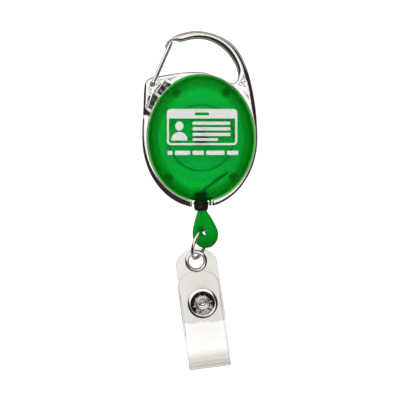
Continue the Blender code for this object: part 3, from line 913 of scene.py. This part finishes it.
def face_print(material):
    """A generic card: a header with a slot, a plain figure and four lines, and a row of bars below."""
    x0, y0, x1, y1 = -10.4, -2.3, 11.0, 8.7
    header = y1 - 2.9
    band = 0.62
    parts = [ink_band(rounded_box((x0, y0), (x1, y1), 1.2),
                      rounded_box((x0 + band, y0 + band), (x1 - band, y1 - band), 1.2 - band))]
    parts.append(ink_band(rounded_box((x0 + 0.3, header), (x1 - 0.3, y1 - 0.3), 0.5),
                          rounded_box((-1.9, header + 0.95), (2.5, header + 1.85), 0.44)))
    parts.append(ink_patch([(-6.6 + 1.25 * cos(t), 3.5 + 1.4 * sin(t)) for t in around(32)]))
    parts.append(ink_patch([(-6.6 + 2.5 * cos(t), -0.9 + 2.6 * sin(t)) for t in around(32)[:17]]))
    parts += [bar(-2.6, low, length, low + thick) for low, length, thick in
              ((3.85, 8.9, 1.0), (2.15, 8.9, 1.0), (0.45, 8.9, 1.0), (-1.0, 5.2, 0.8))]
    left = -10.2
    for width in (1.5, 4.6, 3.4, 5.6, 3.4):
        parts.append(bar(left, -5.3, left + width, -4.0))
        left += width + 0.75
    place("face_print", joined("face_print", parts), material, "case", "green_plastic")


# --- inside the case ---

def guide_sleeve(material):
    guide = node_box("cord_guide")
    inner, tip = -guide[1].y, -guide[0].y
    wall = CASE_B + 0.25
    profile = [(0.65, inner), (2.3, inner), (2.3, inner + 0.5), (2.0, inner + 0.5), (2.0, wall),
               (2.35, wall), (2.35, wall + 0.75), (2.18, wall + 0.9), (2.18, tip - 0.8), (1.8, tip),
               (1.55, tip), (1.5, tip - 0.9), (0.65, tip - 1.7)]
    mesh = turned("guide_sleeve", fillet(profile, 0.14, 3), True, 64, 60, moved(0, 0, MID) @ DOWN_Y)
    place("guide_sleeve", mesh, material, "case", "black_plastic", "cord_guide")


def spool_pieces(material):
    """The spool and the disc that closes its spring cup."""
    low, high = node_box("spool")
    radius, bore = high.x, 2.25
    drum, cup, flange = 11.0, 10.2, 0.8
    bottom, top = low.z, high.z
    profile = [(bore, bottom), (radius, bottom), (radius, bottom + flange), (drum, bottom + flange),
               (drum, top - flange), (radius, top - flange), (radius, top), (cup, top),
               (cup, bottom + flange), (bore, bottom + flange)]
    place("spool_wheel", turned("spool_wheel", fillet(profile, 0.15, 3), True, 128, 40), material, "reel",
          "spool_plastic", "spool")
    low, high = node_box("spring_cover_disc")
    disc = [(bore, low.z), (high.x, low.z), (high.x, high.z), (bore, high.z)]
    place("spring_disc", turned("spring_disc", fillet(disc, 0.12, 3), True, 128, 40), material, "reel",
          "spool_plastic", "spring_cover_disc")


def winding(material):
    """The cord on the drum: two layers of turns side by side."""
    low, high = node_box("cord_winding")
    radius = 0.41
    turns = int((high.z - low.z) / (2 * radius))
    turn_angles = around(72)
    line = []
    for layer, drum in enumerate((high.x - 1.55 + radius, high.x - radius)):
        for turn in range(turns):
            for i, t in enumerate(turn_angles):
                share = turn + i / len(turn_angles)
                height = low.z + radius + (high.z - low.z - 2 * radius) * share / turns
                if layer:
                    height = high.z + low.z - height
                line.append((drum * cos(t), drum * sin(t), height))
    mesh = tube("winding", line, radius, 10)
    place("winding", mesh, material, "reel", "cord_braid", "cord_winding")


# --- cord end and ring ---

def pull_frame():
    """Axes at the guide's mouth: Z along the cord, out of the case, and Y up."""
    z = PULL.normalized()
    y = Vector((0, 0, 1))
    return axes_at(y.cross(z).normalized(), y, z, SEAT)


DROP_TWIST = radians(22)
DROP_FLAT = 0.8
DROP_GROWTH = 1.05
DROP_SHIFT = 0.2         # the drop's body stands this much to the side of the cord
HOLE_R = 1.25


def drop(material):
    profile = [(-0.8, 0.72), (-0.5, 1.0), (0.0, 1.2), (0.9, 1.6), (2.6, 2.38), (4.4, 3.1), (6.0, 3.62),
               (7.4, 3.86), (8.6, 3.78), (9.8, 3.35), (10.8, 2.62), (11.5, 1.75), (11.85, 1.0)]
    smooth = through([(r * DROP_GROWTH, s, 0) for s, r in profile], 4)
    body = lofted("drop", [[(x + DROP_SHIFT, y, z) for x, y, z in ring(p.x, p.x * DROP_FLAT, p.y, 64)]
                           for p in smooth])
    at = (HOLE - SEAT).length
    flare = [(HOLE_R + 1.7, 5.1), (HOLE_R + 0.72, 3.0), (HOLE_R + 0.28, 2.1), (HOLE_R, 1.3)]
    hole = turned("hole", [(r, -h) for r, h in flare] + flare[::-1], steps=48, at=moved(0, 0, at) @ DOWN_Y)
    bore = turned("bore", [(0.6, -2), (0.6, 2.9), (1.3, 3.3), (1.3, at)], steps=32)
    mesh = remeshed(carved(body, hole, bore), 0.11, 6)
    turn = Matrix.Rotation(DROP_TWIST, 4, "Z")
    place("drop", mesh, material, "drop", "green_drop_plastic", "cord_end", at=pull_frame() @ turn)


def cord_pieces(material):
    """The knot inside the drop, and the run of cord that lengthens when it is pulled."""
    placed = pull_frame()
    loops = [(0.42 * (sin(t) + 1.3 * sin(2 * t)), 0.42 * (cos(t) - 1.3 * cos(2 * t)), 4.15 + 0.28 * sin(3 * t))
             for t in around(150)]
    knot = tube("knot", loops, 0.30, 12, cyclic=True)
    place("knot", knot, material, "cord_tip", "cord_braid", "cord_knot", at=placed)
    steps = 60
    line = [(0, 0, -0.65 + 4.3 * i / steps) for i in range(steps + 1)]
    run = tube("cord_run", line, 0.4, 14)
    obj = place("cord_run", run, material, None, "cord_braid", "cord_outer_run", at=placed)
    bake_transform(obj)


def link_ring(material):
    """The ring, fitted to its CAD node: the middle of the node and its plane."""
    obj = frame["nodes"]["link_ring"]
    points = np.array([v.co[:] for v in obj.data.vertices]) / MM
    centre = points.mean(0)
    axes = np.linalg.svd(points - centre, full_matrices=False)[2]
    flat = (points - centre) @ axes.T
    reach = np.hypot(flat[:, 0], flat[:, 1])
    major, minor = (reach.max() + reach.min()) / 2, (reach.max() - reach.min()) / 2
    mesh = tube("link_wire", ring(major, major, 0, 144), minor, 24, cyclic=True)
    x, y = Vector(axes[0]), Vector(axes[1])
    place("link_wire", mesh, material, "ring", "polished_wire", "link_ring",
          at=axes_at(x, y, x.cross(y), centre))


# --- strap ---

STRAP_PITCH = radians(3.9)
EYELET_MIDDLE = 0.075    # height of the eyelet's middle over the back layer's mid plane
STRAP_HALF = 6.4
STRAP_T = 0.5
STRAP_EDGE = 0.45        # its edges are rounded over this width
WAIST_AT, WAIST = 6.0, 0.3      # the back layer's left edge comes in this much, below its round head
LAYER_GAP = 2.7
BULGE = 1.28
BULGE_FROM, BULGE_TO = 18.0, 25.0
FOLD_AT, FOLD_R = 30.4, 2.63
SNAP = (0.3, -12.9)
STRAP_TOP, STRAP_ROUNDING = -3.85, 5.0
FLAP_TOP, FLAP_ROUNDING = 2.7, 4.7
SKEW = -0.3              # the layers lie this far to either side above the fold
HINGE_AT = 29.8
EYELET_BORE = 2.25


def strap_frame():
    """Axes of the strap: X across it, -Y along it from the eyelet, Z up through the layers."""
    x = Vector(JOINTS["flap_open"]["axis"]).normalized()
    flat = Vector((-x.y, x.x, 0))
    y = flat * cos(STRAP_PITCH) + Vector((0, 0, sin(STRAP_PITCH)))
    z = x.cross(y)
    low, high = node_box("strap_eyelet")
    return axes_at(x, y, z, (low + high) / 2 - z * EYELET_MIDDLE)


def layer_height(s, side):
    level = LAYER_GAP if side > 0 else 0.0
    return level + side * BULGE * ease(s, BULGE_FROM, BULGE_TO)


def sheet_ring(s, n, half, shift, tangent):
    """Cross-section of the vinyl at one station: a flat strip with round edges."""
    ds, dn = tangent
    r = STRAP_T / 2
    edge = min(STRAP_EDGE, half * 0.8)
    flat = half - edge
    across, bend = 14, 8
    outline = []
    for side in (1, -1):
        outline += [(side * flat * (2 * i / across - 1), side * r) for i in range(across + 1)]
        turns = [pi / 2 - pi * i / bend for i in range(1, bend)]
        outline += [(side * (flat + edge * cos(t)), side * r * sin(t)) for t in turns]
    return [(x + shift, -(s - dn * h), n + ds * h) for x, h in outline]


def vinyl(name, path, side):
    rings = []
    for i, (s, n, half) in enumerate(path):
        s0, n0, _ = path[max(i - 1, 0)]
        s1, n1, _ = path[min(i + 1, len(path) - 1)]
        length = max(1e-6, hypot(s1 - s0, n1 - n0))
        shift = side * SKEW * (1 - ease(s, 22, HINGE_AT)) * (1 if side > 0 else ease(s, 4, 14))
        if side < 0:
            waist = WAIST / 2 * exp(-((s - WAIST_AT) / 1.1) ** 2)
            half, shift = half - waist, shift + waist
        rings.append(sheet_ring(s, n, half, shift, ((s1 - s0) / length, (n1 - n0) / length)))
    return lofted(name, rings, sharp=50)


def end_path(top, side, run):
    """Stations of a layer's round end, each with its height and half width."""
    stations = [top + run * (1 - cos(pi / 2 * (i + 0.35) / 18)) for i in range(18)]
    widths = [sqrt(max(0.0, 1 - (1 - min(1.0, (s - top) / run)) ** 2.2)) for s in stations]
    return [(s, layer_height(s, side), max(0.3, STRAP_HALF * w)) for s, w in zip(stations, widths)]


def straight_path(start, end, side):
    count = max(2, int((end - start) / 0.5))
    stations = [start + (end - start) * i / count for i in range(count + 1)]
    return [(s, layer_height(s, side), STRAP_HALF) for s in stations]


def strap_sheets(material):
    placed = strap_frame()
    middle = LAYER_GAP / 2
    back = end_path(STRAP_TOP, -1, STRAP_ROUNDING)
    back += straight_path(back[-1][0] + 0.4, 28.5, -1)
    last = pi / 2 - 0.02
    back += [(FOLD_AT + FOLD_R * cos(t), middle + FOLD_R * sin(t), STRAP_HALF)
             for t in (-pi / 2 + (last + pi / 2) * i / 32 for i in range(33))]
    hole = turned("hole", [(EYELET_BORE + 0.45, -2), (EYELET_BORE + 0.45, 2)], steps=48)
    rivet = turned("rivet", [(1.5, -1.2), (1.5, 1.2)], steps=32, at=moved(*SNAP))
    back_mesh = carved(vinyl("vinyl_back", back, -1), hole, rivet)
    place("vinyl_back", back_mesh, material, "strap", "clear_vinyl", "strap_back", at=placed)
    flap = end_path(FLAP_TOP, 1, FLAP_ROUNDING)
    flap += straight_path(flap[-1][0] + 0.4, HINGE_AT + 0.3, 1)
    rivet = turned("rivet", [(1.9, LAYER_GAP - 1), (1.9, LAYER_GAP + 1)], steps=32, at=moved(*SNAP))
    flap_mesh = carved(vinyl("vinyl_flap", flap, 1), rivet)
    obj = place("vinyl_flap", flap_mesh, material, None, "clear_vinyl", "strap_flap", at=placed)
    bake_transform(obj)


def snap_cap(front, flap):
    """The snap's face: a rolled rim, a recess pressed into petals, and the prong ring round the stud."""
    profile = [(1.35, flap - 0.1), (1.7, flap - 0.1)]
    profile += [(r, front + h) for r, h in (
        (1.75, 0.12), (4.75, 0.12), (4.75, 0.42), (4.62, 0.6), (4.4, 0.77), (4.15, 0.88), (3.92, 0.94),
        (3.8, 0.95), (3.65, 0.88), (3.45, 0.7), (3.2, 0.48), (2.6, 0.24), (2.3, 0.2), (2.1, 0.32),
        (1.95, 0.55), (1.8, 0.62), (1.6, 0.55), (1.4, 0.3))]
    petals = 9
    rings = []
    for point in fillet(profile, 0.12, 3):
        pressed = ease(point.x, 2.1, 2.5) * (1 - ease(point.x, 3.2, 3.75)) * (point.y > front + 0.15)
        rings.append([(point.x * cos(t), point.x * sin(t),
                       point.y + 0.16 * pressed * (0.5 + 0.5 * cos(petals * t)) ** 2) for t in around(144)])
    return lofted("cap", rings, closed=True, sharp=180)


def strap_metal(material, snap_material):
    placed = strap_frame()
    top = STRAP_T / 2 + 0.1
    bore, wall = EYELET_BORE, 0.3
    profile = [(bore, -top - 0.3), (bore + 0.25, -top - 0.45), (3.2, -top - 0.3), (3.25, -top),
               (bore + wall, -top), (bore + wall, top), (3.48, top), (3.48, top + 0.18),
               (3.38, top + 0.34), (3.2, top + 0.48), (2.95, top + 0.59), (2.7, top + 0.65),
               (bore + 0.33, top + 0.58), (bore + 0.12, top + 0.38), (bore, top + 0.1)]
    place("eyelet", turned("eyelet", fillet(profile, 0.2, 4), True, 96, 180), material, "strap",
          "nickel_plate", "strap_eyelet", at=placed)
    back, flap = STRAP_T / 2, LAYER_GAP - STRAP_T / 2
    snap = placed @ moved(*SNAP)
    pieces = {
        "post": ("strap", -back, [(0.3, -0.75), (3.9, -0.7), (4.4, -0.4), (4.35, -0.12), (1.3, -0.12),
                                  (1.2, STRAP_T + 0.5), (0.3, STRAP_T + 0.5)]),
        "stud": ("strap", back, [(1.4, 0.12), (3.9, 0.12), (4.0, 0.45), (2.2, 0.6), (1.75, 0.9), (1.85, 1.5),
                                 (1.5, 1.9), (1.2, 1.85), (0.75, 1.5), (0.3, 1.35), (0.3, 0.8), (1.4, 0.7)]),
        "socket": ("flap", flap, [(2.25, -1.3), (3.9, -1.25), (4.3, -0.8), (4.3, -0.12), (2.35, -0.12)]),
    }
    for name, (body, level, offsets) in pieces.items():
        profile = [(r, level + h) for r, h in offsets]
        mesh = turned(name, fillet(profile, 0.15, 4), True, 96, 180)
        place("metal_" + name, mesh, material, body, "nickel_plate", "snap_" + name, at=snap)
    place("metal_cap", snap_cap(LAYER_GAP + back, flap), snap_material, "flap", "nickel_plate",
          "snap_ring", at=snap)


# --- stage ---

VIEW_MM = 123.08         # width of the square that the camera sees at the table
VIEW_CENTRE = (-0.34, -19.0)
LENS = 150.0


def camera():
    data = bpy.data.cameras.new("camera")
    data.lens = LENS
    data.clip_end = 10
    obj = added("camera", data)
    away = VIEW_MM * LENS / data.sensor_width + MID
    obj.location = Vector((*VIEW_CENTRE, away)) * MM
    bpy.context.scene.camera = obj


def table(material):
    bm = bmesh.new()
    bmesh.ops.create_grid(bm, x_segments=8, y_segments=8, size=3.0)
    mesh = bpy.data.meshes.new("table")
    bm.to_mesh(mesh)
    bm.free()
    mesh.materials.append(material)
    added("table", mesh)


TABLE_COLOUR = (0.64, 0.59, 0.54)
TABLE_THROUGH = 0.91     # added to what clear and translucent pieces show of the table
CEILING = 1.12
CEILING_LOW = 0.62       # its level at the horizon
CEILING_FALL = radians(38)
DIFFUSE_BOOST = 0.38     # the extra light that matt surfaces get
CEILING_HOLE_LEVEL = 0.4
CEILING_HOLE = (radians(2.0), radians(11.0))     # the camera's opening in the ceiling, inner and outer edge
BLACK = (0.035, 0.024, 0.026)
DARK_EDGE = radians(4)
DARK_BASE = radians(5)
# Dark screens: the azimuth they centre on, their height there, and how narrow they are.
SCREENS = ((radians(233), radians(70), 0.1, 1.1), (radians(-2), radians(71), 0.0, 2.3))


def studio():
    """A white tent with dark screens to the south-west and east, which give the chrome its lines."""
    world = bpy.data.worlds.new("studio")
    bpy.context.scene.world = world
    world.use_nodes = True
    nodes = Nodes(world.node_tree)
    math = nodes.math
    direction = nodes.node("ShaderNodeTexCoord").outputs["Generated"]
    heading = nodes.vector("NORMALIZE", nodes.vector("MULTIPLY", direction, (1, 1, 0)))
    elevation = math("ARCSINE", nodes.part(direction, "Z"))
    limit = DARK_BASE
    for azimuth, height, narrow, power in SCREENS:
        facing = nodes.vector("DOT_PRODUCT", heading, (cos(azimuth), sin(azimuth), 0))
        share = math("MAXIMUM", math("DIVIDE", math("SUBTRACT", facing, narrow), 1 - narrow), 0)
        limit = nodes.sum(limit, nodes.product(math("POWER", share, power), height))
    lit = nodes.ramp(elevation, 0, 1, math("SUBTRACT", limit, DARK_EDGE), nodes.sum(limit, DARK_EDGE),
                     "SMOOTHSTEP")
    open_sky = nodes.ramp(math("SUBTRACT", pi / 2, elevation), 0, 1, *CEILING_HOLE, "SMOOTHSTEP")
    level = nodes.sum(nodes.product(open_sky, 1 - CEILING_HOLE_LEVEL), CEILING_HOLE_LEVEL)
    fall = CEILING_LOW / CEILING
    height = nodes.ramp(elevation, 0, 1, 0, CEILING_FALL, "SMOOTHSTEP")
    level = nodes.product(level, nodes.sum(nodes.product(height, 1 - fall), fall))
    sky = nodes.mixed(nodes.product(lit, level), BLACK, (CEILING, CEILING, CEILING))
    path = nodes.node("ShaderNodeLightPath").outputs
    background = world.node_tree.nodes["Background"].inputs
    nodes.link(nodes.mixed(path["Is Camera Ray"], sky, (1, 1, 1)), background["Color"])
    boost = nodes.product(path["Is Diffuse Ray"], DIFFUSE_BOOST)
    nodes.link(nodes.sum(boost, 1), background["Strength"])


def main():
    bpy.context.scene.view_settings.view_transform = "Standard"
    camera()
    studio()
    table(table_white())
    frame_casting(chrome_casting())
    gate(polished_wire())
    front_shell(translucent("green_front", (3.2, 0.06, 0.85), 0.55, 6.0, 1.16, 0.05, (0.0, 0.3, 0.05)))
    # The rear shell is the front's plastic with a denser, darker dye: painted shade for the dark under the
    # case.
    rear_shell(translucent("green_rear_shaded", (5.2, 0.88, 2.1), 0.55, 6.0, 1.16, 0.08, (0.0, 0.25, 0.04)))
    face_print(print_ink())
    guide_sleeve(black_plastic())
    spool_pieces(spool_plastic())
    braid = cord_braid()
    winding(braid)
    drop(translucent("green_drop", (1.6, 0.2, 0.85), 0.5, 1.6, 1.2, 0.6, (0.0, 0.58, 0.03)))
    cord_pieces(braid)
    link_ring(polished_wire())
    strap_sheets(clear_vinyl())
    strap_metal(nickel_plate(), snap_nickel())
    kept = {"spring_arbor": dark_steel(), "power_spring": strip_steel(), "cord_inner_run": braid}
    for node, material in kept.items():
        mesh = frame["nodes"][node].data
        mesh.materials.clear()
        mesh.materials.append(material)


main()
